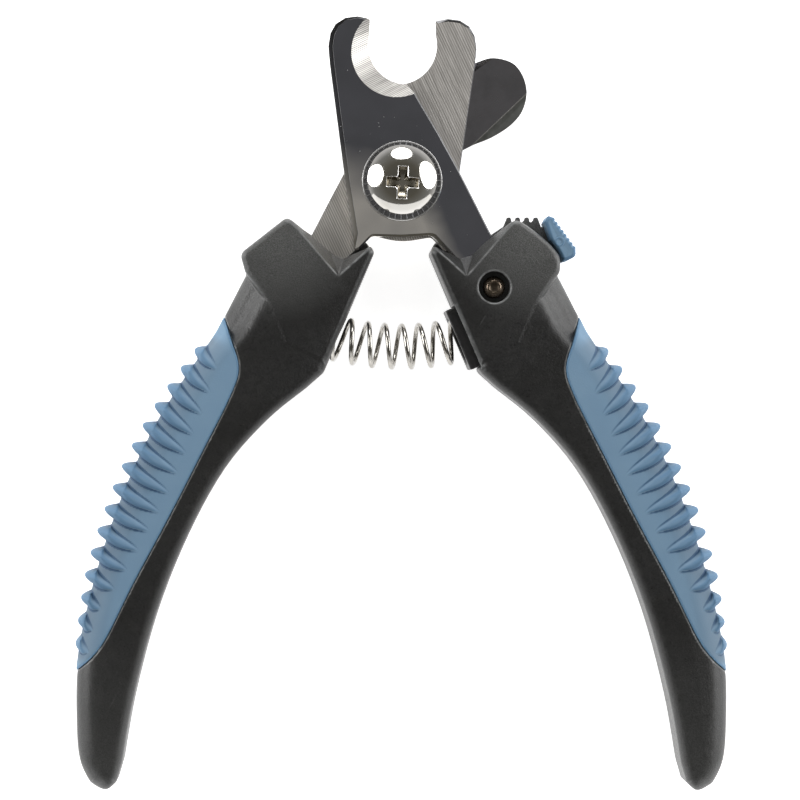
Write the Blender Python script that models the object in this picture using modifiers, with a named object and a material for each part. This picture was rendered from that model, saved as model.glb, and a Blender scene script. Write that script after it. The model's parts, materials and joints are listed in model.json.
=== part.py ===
"""Scissor-type nail clipper for pets, lying flat with its handles open.

Metres, +Z up. The blades point along +Y, the handles along -Y, and the clipper's front faces +Z.
X = 0 is the mid-plane between the open handles; the origin is at the bottom centre of the object.
Lengths below are millimetres, measured from the pivot screw's axis: x to the right, y towards the blades,
z up from the surface that the handles rest on.
"""

import math

import bmesh
import bpy
from mathutils import Vector

MM = 0.001
GAP = 0.3                       # clearance between pieces that are fitted together
PIVOT_Y = 43.2                  # pivot axis ahead of the object's middle
LOCK_AXIS = (17.7, -20.9)       # lock screw in the right handle's head

HANDLE_DEPTH = 15.0             # back to front
RIM_RADIUS = 2.2                # rounding along both faces of a handle
BLADE_THICKNESS = 2.75
BLADE_BACK = 7.65               # contact side of the front blade; the rear blade is its mirror in z = 7.5
MID_Z = HANDLE_DEPTH / 2
BORE_RADIUS = 3.25              # pivot holes
NOTCH_FLOOR = 10.5              # foot of the sloping walls of a handle's V notch
NOTCH_CEILING = 15.4            # where those walls would reach the outline NOTCH_TOP

GUARD_Z = (3.1, 4.3)
LEVER_Z = (5.1, 7.05)
LEVER_SLOT_Z = (4.0, 7.35)
PAD_Z = (2.2, 12.8)
LOCK_HOLE = 1.55
LOCK_BORE_FOOT = 0.9
EAR_RADIUS = 13.95              # the right head's outer wall, about the lock axis

SCREW_TOP = 14.9
SCREW_FOOT = 0.5
DOME_FOOT = 11.8
DOME_RADIUS = 6.7
DOME_EDGE = 0.4                 # upright edge below the dome
DOME_STEPS = 7
SHANK_RADIUS = 2.95
RECESS_HALF = 3.05              # half the length of the cross recess
RECESS_ARM = 0.85               # half the width of its arms
RECESS_SHIFT = -0.6             # the recess sits off the screw's centre
RECESS_FLOOR = 13.0
TOOTH_WASHER = [(BORE_RADIUS, 11.5), (7.7, 11.5), (7.9, 11.3), (7.9, 10.7), (BORE_RADIUS, 10.7)]
WAVE_WASHER = [(BORE_RADIUS, 2.8), (5.9, 2.6), (5.9, 2.05), (BORE_RADIUS, 2.25)]
NUT_RADIUS = 5.75               # to its corners
NUT_Z = (0.3, 1.75)

SPRING_BOW = 51.0               # radius of the arc that the spring's centre line follows
SPRING_LOW = -32.3              # the centre line's lowest point
SPRING_RADIUS = 4.1
WIRE_RADIUS = 0.42
SPRING_PITCH = 3.58
SPRING_ENDS = (-15.6, 14.2)     # along the centre line, from its lowest point
COIL_STEPS = 14                 # points on each turn
POCKET_RADIUS = 5.2
POCKET_FLOOR = 1.0              # a pocket's floor lies this far behind the spring's end
POCKET_LENGTH = 14.0

SEAT_LENGTH = 12.5
SEAT_DEPTH = 12.0
SEAT_MIDDLE = (10.75, -31.2)    # middle of the seat's outer face
SEAT_PROUD = 1.7
SEAT_SUNK = 4.0
FACE_LEAN = math.radians(23.0)  # the handles' inner faces lean this far from the Y axis when open

RIB_COUNT = 15
RIB_PITCH = 4.4
RIB_FIRST = 5.15                # the first tip, along the grip's outer edge from its top end
RIB_FULL = 7                    # the rib that stands highest
RIB_HEIGHT = 2.4
RIB_FALL = 0.016                # how fast the ribs get lower away from the highest one
RIB_LAST = 0.83                 # height of the last rib
RIB_TAPER = 0.43                # a rib near the last one may be this much higher than the next
RIB_ROOT = 1.4                  # how deep a rib is rooted in the grip
RIB_INSET = 1.6                 # the ribs end this far inside the handle's faces
RIB_TIP = 1.85                  # a rib's tip, along the edge from its upper foot
# A rib's outline: along the edge from its upper foot, and outwards as a share of its height.
RIB_FIN = [(0.0, 0.0), (0.91, 0.73), (1.38, 0.95), (RIB_TIP, 1.0), (2.35, 0.86), (2.67, 0.57), (3.0, 0.0)]

RIGHT_LEAN = math.radians(0.15) # the right handle sits this much further in than the left one
REAR_LEAN = math.radians(0.8)   # the rear blade stands this much further out than the front one

# Right-hand outlines; the left handle mirrors them. A third number is a corner's radius.
HEAD = [(5.45, -14.2, 0.8), (6.6, -12.1, 0.6), (9.5, -9.9, 1.0), (13.0, -8.9, 1.0), (17.0, -10.8, 0.6),
        (22.2, -7.2, 1.6), (31.4, -14.4, 1.6), (30.4, -18.0, 1.6)]
OUTER_EDGE = [(36.1, -29.4), (40.3, -35.8), (47.2, -46.6), (53.0, -58.4), (57.5, -70.6), (61.0, -83.1),
              (63.0, -94.0), (63.25, -104.0), (62.7, -112.0), (60.6, -116.8), (57.6, -118.2), (55.3, -116.6)]
INNER_EDGE = [(54.2, -112.8), (51.9, -100.0), (47.6, -84.0), (41.6, -69.0), (34.4, -56.0), (26.2, -46.6),
              (18.6, -40.4)]
FACE_FOOT = (15.2, -37.4, 1.5)
GRIP_SEAM = [(34.5, -26.4), (33.2, -30.8), (31.6, -36.4), (33.2, -41.9), (38.7, -52.8), (45.1, -65.3),
             (51.8, -77.8), (58.2, -90.3), (63.6, -95.6)]
GRIP_OUTSIDE = [(72.0, -98.0), (72.0, -70.0), (56.0, -30.0), (38.0, -22.0)]
NECK_POINT = (32.0, -20.0)      # on the neck, just above the grip
TONGUE_INSET = 3.2              # how far inside the outer edge the grip's plastic core ends
TONGUE_Z = (4.8, 10.2)
TONGUE_SLACK = 0.5              # room above and below the tongue where it is trimmed
TRIM_BEYOND = (12.0, 4.0)       # how far the side cutter reaches past the outer edge
TRIM_INSIDE = 30.0              # how far the tongue's cutter reaches back into the handle
CLEAR = 1.0                     # how far cutters stand out of the faces that they cut

NOTCH_LOW = [(24.0, -5.9), (12.7, -14.8), (11.3, -15.2), (6.9, -13.4), (4.2, -11.9), (10.0, -3.0)]
NOTCH_TOP = [(24.0, -5.3), (12.6, -18.5), (12.2, -18.5), (6.6, -13.9), (4.0, -12.2), (10.0, -2.0)]

# The front blade: hook, outer edge, heel, waist, tang and inner edge.
BLADE = [(-6.2, 31.3, 0.3), (-8.6, 31.8), (-11.0, 31.5), (-12.9, 30.3), (-13.9, 28.5), (-14.3, 26.0),
         (-14.0, 22.5), (-11.1, 0.4), (-9.4, -10.5),
         (-9.2, -13.8, 0.7), (-8.3, -13.4, 0.5), (-5.9, -10.9, 1.2), (0.0, -11.5, 30.0), (5.6, -10.7, 1.6),
         (10.3, -15.1), (19.2, -27.5, 2.0), (21.0, -31.0, 1.5), (25.8, -31.0, 2.0), (26.3, -28.7, 2.0),
         (14.3, -4.6), (10.7, 2.4), (6.8, 9.5), (2.5, 16.8), (0.8, 19.1), (-4.4, 24.0), (-6.3, 29.0)]
EDGE_CIRCLE = (1.15, 26.5, 7.7)         # cutting edge, on the contact side
BEVEL_CIRCLE = (-1.03, 24.9, 8.8)       # where the bevel meets the outer side
EDGE_LAND = 0.25                        # upright land at the cutting edge
EDGE_STEPS = 48

GUARD = [(-6.2, 0.0, 3.0), (-4.6, -5.6, 4.0), (4.6, -5.6, 4.0), (9.6, 1.0, 4.0), (11.6, 6.0, 1.5),
         (14.4, 7.4), (17.4, 8.6), (20.3, 10.3), (22.35, 12.0), (23.8, 13.95), (24.55, 16.4), (24.55, 18.55),
         (23.85, 20.85), (22.4, 22.9), (20.35, 23.95), (17.5, 24.3), (14.9, 23.5), (9.0, 20.7, 6.0)]

LEVER_TEETH = 4
TOOTH_PITCH = 1.76
TOOTH_FIRST = (26.2, -7.1)      # tip of the right-hand tooth
TOOTH_CREST = 0.4               # half of a tooth's flat tip
TOOTH_DEPTH = 0.9
LEVER_SHOULDER = (20.0, -8.6)   # where the teeth end
LEVER_RIM = 15.8
LEVER_CORNER = (15.3, 51.5)     # radius and direction from the lock axis
HUB_RADIUS = 3.6
PAD = [(32.2, -15.6, 0.8), (33.6, -14.9, 1.0), (33.8, -13.8, 0.5), (29.2, -7.2, 0.5), (28.2, -7.0, 0.3),
       (27.5, -8.2, 0.3)]
SLOT_REACH = 20.0               # the lever's slot and the ear's trim, about the lock axis
SLOT_HUB = 4.2
LOCK_RECESS = (3.0, 12.0)       # radius and floor of the recess for the lock screw's head
LOCK_WASHER = [(LOCK_HOLE, 4.8), (3.2, 4.7), (3.2, 4.3), (LOCK_HOLE, 4.4)]
LOCK_SCREW = [(0.0, 13.9), (1.2, 13.75), (2.15, 13.2), (2.15, 12.3), (1.25, 12.3), (1.25, 1.4), (0.0, 1.2)]
SOCKET_RADIUS = 1.15            # hexagonal socket in the lock screw
SOCKET_FLOOR = 12.9


def start():
    """Clear the scene and make one collection for the clipper and one for its cutters."""
    for obj in list(bpy.data.objects):
        bpy.data.objects.remove(obj, do_unlink=True)
    found = {}
    for name in ("scissor_nail_clipper", "cutters"):
        found[name] = bpy.data.collections.new(name)
        bpy.context.scene.collection.children.link(found[name])
    return found["scissor_nail_clipper"], found["cutters"]


def material(name, colour, roughness, metallic=0.0):
    made = bpy.data.materials.new(name)
    made.use_nodes = True
    shader = made.node_tree.nodes["Principled BSDF"]
    shader.inputs["Base Color"].default_value = (*colour, 1.0)
    shader.inputs["Roughness"].default_value = roughness
    shader.inputs["Metallic"].default_value = metallic
    return made


# ---------------------------------------------------------------- outlines

def mirrored(points):
    return [(-p[0], *p[1:]) for p in points]


def swung(points, angle):
    """Points turned clockwise about the pivot by a small angle."""
    return [(p[0] + p[1] * angle, p[1] - p[0] * angle, *p[2:]) for p in points]


def turned_over(points):
    """Front-blade points placed on the rear blade."""
    return swung(mirrored(points), REAR_LEAN)


def polar(centre, radius, degrees):
    angle = math.radians(degrees)
    return (centre[0] + radius * math.cos(angle), centre[1] + radius * math.sin(angle))


def arc(centre, radius, first, last, count):
    return [polar(centre, radius, first + (last - first) * i / count) for i in range(count + 1)]


def ring(centre, radius, count):
    return arc(centre, radius, 0, 360 - 360 / count, count - 1)


def smooth(points, per_span):
    """Points on the Catmull-Rom curve through the given ones."""
    ends = [points[0], *points, points[-1]]
    found = []
    for i in range(1, len(ends) - 2):
        a, b, c, d = (Vector(ends[i + k][:2]) for k in (-1, 0, 1, 2))
        for step in range(per_span):
            t = step / per_span
            found.append(tuple(0.5 * (2 * b + (c - a) * t + (2 * a - 5 * b + 4 * c - d) * t * t
                                      + (3 * b - a - 3 * c + d) * t ** 3)))
    return [*found, tuple(points[-1][:2])]


def turns_left(points):
    return sum(a[0] * b[1] - b[0] * a[1] for a, b in zip(points, [*points[1:], points[0]])) > 0


def moved_in(points, distance):
    """The outline moved inwards by a distance (outwards if it is negative), corner for corner."""
    inward = 1 if turns_left(points) else -1
    found = []
    for i, point in enumerate(points):
        here = Vector(point[:2])
        before = (here - Vector(points[i - 1][:2])).normalized()
        after = (Vector(points[(i + 1) % len(points)][:2]) - here).normalized()
        normal_a = Vector((-before.y, before.x)) * inward
        normal_b = Vector((-after.y, after.x)) * inward
        mitre = (normal_a + normal_b) / max(1 + normal_a.dot(normal_b), 0.35)
        new = here + mitre * distance
        if len(point) == 3:
            convex = (before.x * after.y - before.y * after.x) * inward > 0
            found.append((new.x, new.y, max(point[2] + (-distance if convex else distance), 0.12)))
        else:
            found.append((new.x, new.y))
    return found


def rounded(points, steps=4):
    """The outline with an arc at every corner that has a radius."""
    found = []
    for i, point in enumerate(points):
        if len(point) == 2:
            found.append(point)
            continue
        here = Vector(point[:2])
        back = Vector(points[i - 1][:2]) - here
        ahead = Vector(points[(i + 1) % len(points)][:2]) - here
        half = back.angle(ahead) / 2
        reach = min(point[2] / math.tan(half), 0.49 * back.length, 0.49 * ahead.length)
        radius = reach * math.tan(half)
        centre = here + (back.normalized() + ahead.normalized()).normalized() * (radius / math.sin(half))
        first = here + back.normalized() * reach - centre
        last = here + ahead.normalized() * reach - centre
        sweep = first.angle_signed(last)
        for step in range(steps + 1):
            angle = -sweep * step / steps
            found.append((centre.x + first.x * math.cos(angle) - first.y * math.sin(angle),
                          centre.y + first.x * math.sin(angle) + first.y * math.cos(angle)))
    return found


def rim_levels(low, high, radius):
    """Heights and insets of a block whose two rims are rounded."""
    step = radius * (1 - math.sqrt(0.5))
    return [(low, radius), (low + step, step), (low + radius, 0.0),
            (high - radius, 0.0), (high - step, step), (high, radius)]


# ---------------------------------------------------------------- solids

def new_object(name, bm, collection, origin=(0.0, 0.0)):
    """An object from a bmesh in pivot millimetres, with its origin on a given axis."""
    bmesh.ops.recalc_face_normals(bm, faces=bm.faces)
    bmesh.ops.translate(bm, verts=bm.verts, vec=(-origin[0], -origin[1], 0))
    bmesh.ops.scale(bm, verts=bm.verts, vec=(MM, MM, MM))
    mesh = bpy.data.meshes.new(name)
    bm.to_mesh(mesh)
    bm.free()
    obj = bpy.data.objects.new(name, mesh)
    obj.location = (origin[0] * MM, (PIVOT_Y + origin[1]) * MM, 0)
    collection.objects.link(obj)
    if collection is CUTTERS:
        obj.hide_render = True
        obj.display_type = "WIRE"
    return obj


def loft(name, levels, collection, origin=(0.0, 0.0)):
    """A solid through outlines of equal count at rising heights, capped at both ends."""
    bm = bmesh.new()
    rings = [[bm.verts.new((x, y, z)) for x, y in outline] for z, outline in levels]
    for low, high in zip(rings, rings[1:]):
        for i in range(len(low)):
            j = (i + 1) % len(low)
            bm.faces.new((low[i], low[j], high[j], high[i]))
    bm.faces.new(rings[0])
    bm.faces.new(rings[-1])
    return new_object(name, bm, collection, origin)


def plate(name, outline, low, high, collection, origin=(0.0, 0.0)):
    return loft(name, [(low, outline), (high, outline)], collection, origin)


def rod(name, centre, radius, low, high, collection, sides=32):
    return plate(name, ring(centre, radius, sides), low, high, collection)


def turned(name, profile, centre, sides):
    """A turned piece: the profile runs from the top centre down its outer side."""
    bm = bmesh.new()
    points = [bm.verts.new((x * MM, 0, z * MM)) for x, z in profile]
    for a, b in zip(points, points[1:]):
        bm.edges.new((a, b))
    if profile[0][0] > 0:
        bm.edges.new((points[-1], points[0]))
    mesh = bpy.data.meshes.new(name)
    bm.to_mesh(mesh)
    bm.free()
    obj = bpy.data.objects.new(name, mesh)
    obj.location = (centre[0] * MM, (PIVOT_Y + centre[1]) * MM, 0)
    CLIPPER.objects.link(obj)
    spin = obj.modifiers.new("Spin", "SCREW")
    spin.steps = sides
    spin.render_steps = sides
    spin.use_merge_vertices = True
    spin.merge_threshold = 0.00001
    return obj


def boolean(obj, other, operation):
    modifier = obj.modifiers.new(f"{operation.title()} {other.name}", "BOOLEAN")
    modifier.operation = operation
    modifier.object = other
    modifier.solver = "EXACT"


def cut(obj, *cutters):
    for cutter in cutters:
        boolean(obj, cutter, "DIFFERENCE")


def finish(obj, look, smooth_angle=35):
    obj.data.materials.append(look)
    if smooth_angle:
        obj.data.shade_smooth()
        obj.data.set_sharp_from_angle(angle=math.radians(smooth_angle))
    return obj


# ---------------------------------------------------------------- blades, guard and pivot

def make_blade(name, side, steel):
    """The front blade for side 1; the rear blade for side -1 is the same piece turned over."""
    def level(z, outline):
        return (z, outline) if side > 0 else (2 * MID_Z - z, turned_over(outline))

    low, high = BLADE_BACK, BLADE_BACK + BLADE_THICKNESS
    outline = rounded(BLADE)
    edge = ring(EDGE_CIRCLE[:2], EDGE_CIRCLE[2], EDGE_STEPS)
    bevel = ring(BEVEL_CIRCLE[:2], BEVEL_CIRCLE[2], EDGE_STEPS)
    beyond = [(2 * b[0] - a[0], 2 * b[1] - a[1]) for a, b in zip(edge, bevel)]
    blade = loft(name, [level(low, outline), level(high, outline)], CLIPPER)
    levels = [level(low - CLEAR, edge), level(low + EDGE_LAND, edge), level(high, bevel),
              level(2 * high - low, beyond)]
    notch = loft(name + "_notch", levels, CUTTERS)
    cut(blade, notch, PIVOT_BORE)
    if side > 0:
        cut(blade, LOCK_BORE)
    return finish(blade, steel)


def make_pivot(chrome, dark_steel):
    rise = SCREW_TOP - DOME_FOOT - DOME_EDGE
    sphere = (DOME_RADIUS ** 2 + rise ** 2) / (2 * rise)
    limit = math.asin(DOME_RADIUS / sphere)
    profile = [(0.0, SCREW_TOP)]
    for step in range(1, DOME_STEPS + 1):
        angle = limit * step / DOME_STEPS
        profile.append((sphere * math.sin(angle), SCREW_TOP - sphere * (1 - math.cos(angle))))
    profile += [(DOME_RADIUS, DOME_FOOT), (SHANK_RADIUS, DOME_FOOT), (SHANK_RADIUS, SCREW_FOOT),
                (0.0, SCREW_FOOT)]
    screw = turned("pivot_screw", profile, (0, 0), 40)
    arms = {"recess_across": (RECESS_HALF, RECESS_ARM), "recess_along": (RECESS_ARM, RECESS_HALF)}
    for name, (across, along) in arms.items():
        corners = [(x * across, y * along + RECESS_SHIFT) for x, y in ((-1, -1), (1, -1), (1, 1), (-1, 1))]
        cut(screw, plate(name, corners, RECESS_FLOOR, SCREW_TOP + CLEAR, CUTTERS))
    finish(screw, chrome)
    finish(turned("tooth_washer", TOOTH_WASHER, (0, 0), 40), chrome)
    finish(turned("wave_washer", WAVE_WASHER, (0, 0), 32), dark_steel)
    nut = plate("pivot_nut", ring((0, 0), NUT_RADIUS, 6), *NUT_Z, CLIPPER)
    cut(nut, PIVOT_BORE)
    finish(nut, dark_steel, None)


def make_guard(steel):
    guard = plate("nail_guard", rounded(GUARD, 6), *GUARD_Z, CLIPPER)
    cut(guard, PIVOT_BORE)
    finish(guard, steel)


# ---------------------------------------------------------------- handles

def grip_edge():
    """The grip's outer edge, from its top end down, as points and the distance along them."""
    points = [Vector(p) for p in smooth(OUTER_EDGE[:7], 8)]
    along = [0.0]
    for a, b in zip(points, points[1:]):
        along.append(along[-1] + (b - a).length)
    return points, along


def rib_height(number):
    full = RIB_HEIGHT - RIB_FALL * (number - RIB_FULL) ** 2
    return min(full, RIB_LAST + RIB_TAPER * (RIB_COUNT - 1 - number))


def rib_outlines():
    """One fin for each rib: a rounded nose that leans away from the blades, rooted inside the grip."""
    points, along = grip_edge()
    found = []
    for number in range(RIB_COUNT):
        reach = RIB_FIRST + number * RIB_PITCH
        k = max(i for i in range(len(along) - 1) if along[i] <= reach)
        share = (reach - along[k]) / (along[k + 1] - along[k])
        down = (points[k + 1] - points[k]).normalized()
        out = Vector((-down.y, down.x))
        foot = points[k].lerp(points[k + 1], share) - down * RIB_TIP
        height = rib_height(number)
        fin = [foot - out * RIB_ROOT]
        fin += [foot + down * a + out * b * height for a, b in RIB_FIN]
        fin.append(foot + down * RIB_FIN[-1][0] - out * RIB_ROOT)
        found.append([tuple(p) for p in fin])
    return found


def sided(points, side):
    """Right-hand points on the right handle, which leans in a little, or mirrored for the left one."""
    return mirrored(points) if side < 0 else swung(points, RIGHT_LEAN)


def make_handle(name, side, plastic, rubber):
    """A handle's moulded core and its rubber grip; side is 1 for the right one."""
    base = sided([*HEAD, *smooth(OUTER_EDGE, 2), *smooth(INNER_EDGE, 2), FACE_FOOT], side)
    levels = [(z, rounded(moved_in(base, inset))) for z, inset in rim_levels(0, HANDLE_DEPTH, RIM_RADIUS)]
    core = loft(name + "_handle", levels, CLIPPER)
    grip = loft(name + "_grip", levels, CLIPPER)

    region = sided([*smooth(GRIP_SEAM, 2), *GRIP_OUTSIDE], side)
    wider = moved_in(region, -GAP)
    low, high = -CLEAR, HANDLE_DEPTH + CLEAR
    cut(core, plate(name + "_core_front", wider, TONGUE_Z[1], high, CUTTERS),
        plate(name + "_core_back", wider, low, TONGUE_Z[0], CUTTERS))
    edge = sided([NECK_POINT, *smooth(OUTER_EDGE[:8], 2)], side)
    beyond = [(x + TRIM_BEYOND[0] * side, y + TRIM_BEYOND[1]) for x, y in reversed(edge)]
    shelf = [*moved_along(edge, TONGUE_INSET * side), *beyond]
    trim = plate(name + "_core_side", shelf, TONGUE_Z[0] - TONGUE_SLACK, TONGUE_Z[1] + TONGUE_SLACK, CUTTERS)
    boolean(trim, plate(name + "_core_side_limit", wider, low, high, CUTTERS), "INTERSECT")
    cut(core, trim)
    boolean(grip, plate(name + "_grip_region", region, low, high, CUTTERS), "INTERSECT")
    inner = moved_along(edge, (TONGUE_INSET - GAP) * side)
    inside = [(x - TRIM_INSIDE * side, y) for x, y in reversed(inner)]
    cut(grip, plate(name + "_tongue", [*inner, *inside], TONGUE_Z[0] - GAP, TONGUE_Z[1] + GAP, CUTTERS))

    ribs = bmesh.new()
    for outline in rib_outlines():
        rings = []
        for z in (RIB_INSET, HANDLE_DEPTH - RIB_INSET):
            rings.append([ribs.verts.new((x, y, z)) for x, y in sided(outline, side)])
        for i in range(len(outline)):
            j = (i + 1) % len(outline)
            ribs.faces.new((rings[0][i], rings[0][j], rings[1][j], rings[1][i]))
        ribs.faces.new(rings[0])
        ribs.faces.new(rings[1])
    boolean(grip, new_object(name + "_ribs", ribs, CUTTERS), "UNION")

    notch_levels = [(LEVER_SLOT_Z[0] + (0 if side > 0 else GAP), NOTCH_LOW), (NOTCH_FLOOR, NOTCH_LOW),
                    (NOTCH_CEILING, NOTCH_TOP)]
    cut(core, loft(name + "_notch", [(z, sided(p, side)) for z, p in notch_levels], CUTTERS))
    tang = rounded(moved_in(BLADE, -GAP))
    tang_low = BLADE_BACK if side > 0 else 2 * MID_Z - BLADE_BACK - BLADE_THICKNESS
    cut(core, plate(name + "_tang_slot", tang if side > 0 else turned_over(tang), tang_low - GAP,
                    tang_low + BLADE_THICKNESS + GAP, CUTTERS))
    finish(core, plastic)
    finish(grip, rubber)
    return core


def moved_along(points, distance):
    """An open line moved sideways, to its left for a positive distance seen going down it."""
    found = []
    for i, point in enumerate(points):
        a = Vector(points[max(i - 1, 0)])
        b = Vector(points[min(i + 1, len(points) - 1)])
        along = (b - a).normalized()
        found.append((point[0] + along.y * distance, point[1] - along.x * distance))
    return found


def aimed_cylinder(name, centre, direction):
    """The cutter for a spring pocket, lying at mid depth from a centre along a direction."""
    bm = bmesh.new()
    bmesh.ops.create_cone(bm, cap_ends=True, segments=28, radius1=POCKET_RADIUS, radius2=POCKET_RADIUS,
                          depth=POCKET_LENGTH)
    turn = Vector((0, 0, 1)).rotation_difference(Vector((*direction, 0))).to_matrix()
    bmesh.ops.rotate(bm, verts=bm.verts, matrix=turn)
    middle = Vector((*centre, MID_Z)) + Vector((*direction, 0)) * (POCKET_LENGTH / 2)
    bmesh.ops.translate(bm, verts=bm.verts, vec=middle)
    return new_object(name, bm, CUTTERS)


def seat_block(name, grow, collection):
    """The spring seat's block, grown on every side by a gap."""
    out = Vector((-math.cos(FACE_LEAN), -math.sin(FACE_LEAN)))
    along = Vector((-out.y, out.x)) * (SEAT_LENGTH / 2 + grow)
    face = Vector(SEAT_MIDDLE)
    proud = face + out * grow
    sunk = face - out * (SEAT_PROUD + SEAT_SUNK + grow)
    outline = [tuple(proud + along), tuple(proud - along), tuple(sunk - along), tuple(sunk + along)]
    half = SEAT_DEPTH / 2 + grow
    return plate(name, outline, MID_Z - half, MID_Z + half, collection)


def spring_point(along):
    """The spring's centre line, and its direction, at a distance from its lowest point."""
    angle = along / SPRING_BOW
    centre = (SPRING_BOW * math.sin(angle), SPRING_LOW + SPRING_BOW * (1 - math.cos(angle)))
    return Vector(centre), Vector((math.cos(angle), math.sin(angle)))


def make_spring(left, right, steel, plastic):
    where, heading = spring_point(SPRING_ENDS[0])
    cut(left, aimed_cylinder("left_spring_pocket", where - heading * POCKET_FLOOR, heading))
    seat = seat_block("spring_seat", 0.0, CLIPPER)
    cut(right, seat_block("spring_seat_pocket", GAP, CUTTERS))
    where, heading = spring_point(SPRING_ENDS[1])
    cut(seat, aimed_cylinder("seat_bore", where + heading * POCKET_FLOOR, -heading))
    finish(seat, plastic)

    length = SPRING_ENDS[1] - SPRING_ENDS[0]
    count = round(length / SPRING_PITCH * COIL_STEPS)
    curve = bpy.data.curves.new("handle_spring", "CURVE")
    curve.dimensions = "3D"
    curve.bevel_depth = WIRE_RADIUS * MM
    curve.bevel_resolution = 2
    curve.use_fill_caps = True
    line = curve.splines.new("POLY")
    line.points.add(count)
    for i in range(count + 1):
        along = SPRING_ENDS[0] + length * i / count
        where, heading = spring_point(along)
        angle = 2 * math.pi * along / SPRING_PITCH
        side = Vector((-heading.y, heading.x)) * (SPRING_RADIUS * math.cos(angle))
        point = where + side
        line.points[i].co = (point.x * MM, point.y * MM, (MID_Z + SPRING_RADIUS * math.sin(angle)) * MM, 1)
    spring = bpy.data.objects.new("handle_spring", curve)
    spring.location = (0, PIVOT_Y * MM, 0)
    CLIPPER.objects.link(spring)
    curve.materials.append(steel)


# ---------------------------------------------------------------- lock

def lever_outline():
    teeth = []
    for number in range(LEVER_TEETH):
        x, y = TOOTH_FIRST[0] - number * TOOTH_PITCH, TOOTH_FIRST[1]
        teeth += [(x + TOOTH_CREST, y), (x - TOOTH_CREST, y), (x - TOOTH_PITCH / 2, y - TOOTH_DEPTH)]
    teeth[-1] = LEVER_SHOULDER
    hub = arc(LOCK_AXIS, HUB_RADIUS, 130, 340, 10)
    rim = arc(LOCK_AXIS, LEVER_RIM, 23, 49, 4)
    return [*hub, *rim, polar(LOCK_AXIS, *LEVER_CORNER), *teeth]


def pad_outline():
    inner = arc(LOCK_AXIS, EAR_RADIUS + GAP, 20.5, 40, 4)
    return [*inner[::-1], *PAD]


def make_lock(right, plastic, rubber, steel):
    """The lever that swings under the rear blade's heel, its thumb pad, washer and screw."""
    sector = [*arc(LOCK_AXIS, SLOT_REACH, 6, 128, 12), *arc(LOCK_AXIS, SLOT_HUB, 150, 350, 10)]
    radius, floor = LOCK_RECESS
    recess = rod("lock_recess", LOCK_AXIS, radius, floor, HANDLE_DEPTH + CLEAR, CUTTERS, 24)
    outer = [*arc(LOCK_AXIS, EAR_RADIUS, 12, 112, 14), *arc(LOCK_AXIS, SLOT_REACH, 112, 12, 8)]
    cut(right, plate("lever_slot", sector, *LEVER_SLOT_Z, CUTTERS), recess, LOCK_BORE,
        plate("ear_trim", outer, -CLEAR, HANDLE_DEPTH + CLEAR, CUTTERS))

    lever = plate("lock_lever", lever_outline(), *LEVER_Z, CLIPPER, LOCK_AXIS)
    cut(lever, LOCK_BORE)
    pad = plate("lock_thumb_pad", rounded(pad_outline()), *PAD_Z, CLIPPER, LOCK_AXIS)
    wide = moved_in(lever_outline(), -GAP)
    cut(pad, plate("pad_groove", wide, LEVER_Z[0] - GAP, LEVER_Z[1] + GAP, CUTTERS))
    washer = turned("lock_washer", LOCK_WASHER, LOCK_AXIS, 24)
    screw = turned("lock_screw", LOCK_SCREW, LOCK_AXIS, 24)
    cut(screw, plate("lock_socket", ring(LOCK_AXIS, SOCKET_RADIUS, 6), SOCKET_FLOOR, HANDLE_DEPTH, CUTTERS))
    pivot = bpy.data.objects.new("lock_pivot", None)
    pivot.location = (LOCK_AXIS[0] * MM, (PIVOT_Y + LOCK_AXIS[1]) * MM, 0)
    CLIPPER.objects.link(pivot)
    for piece in (lever, pad):
        piece.parent = pivot
        piece.location = (0, 0, 0)
    finish(lever, plastic)
    finish(pad, rubber)
    finish(washer, steel)
    finish(screw, steel)


CLIPPER, CUTTERS = start()
PIVOT_BORE = rod("pivot_bore", (0, 0), BORE_RADIUS, -CLEAR, HANDLE_DEPTH + CLEAR, CUTTERS)
LOCK_BORE = rod("lock_bore", LOCK_AXIS, LOCK_HOLE, LOCK_BORE_FOOT, HANDLE_DEPTH, CUTTERS, 16)


def main():
    polished = material("polished_blade_steel", (0.32, 0.31, 0.30), 0.12, 1.0)
    ground = material("ground_blade_steel", (0.42, 0.40, 0.37), 0.35, 1.0)
    chrome = material("chrome", (0.75, 0.73, 0.70), 0.06, 1.0)
    dark = material("darkened_steel", (0.12, 0.12, 0.125), 0.25, 1.0)
    spring_steel = material("spring_steel", (0.55, 0.53, 0.50), 0.2, 1.0)
    plastic = material("black_handle_plastic", (0.03, 0.03, 0.032), 0.5)
    rubber = material("blue_grip_rubber", (0.15, 0.27, 0.45), 0.6)

    make_blade("front_blade", 1, polished)
    make_blade("rear_blade", -1, ground)
    make_pivot(chrome, dark)
    make_guard(dark)
    left = make_handle("left", -1, plastic, rubber)
    right = make_handle("right", 1, plastic, rubber)
    make_spring(left, right, spring_steel, plastic)
    make_lock(right, plastic, rubber, dark)


main()
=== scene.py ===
"""The looks of the scissor nail clipper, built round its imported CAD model.

Everything is in the model's own frame. Lengths are millimetres measured from the pivot screw's axis: x to
the right, y towards the blades, z up from the surface that the handles rest on. place() turns them into
metres. The right handle is described, and its mirror image is the left one.
Handles, grips and thumb pad are sampled as distance fields, negative inside, and meshed by net().
"""

import json
from functools import partial
from math import asin, cos, pi, radians, sin, tan

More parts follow.
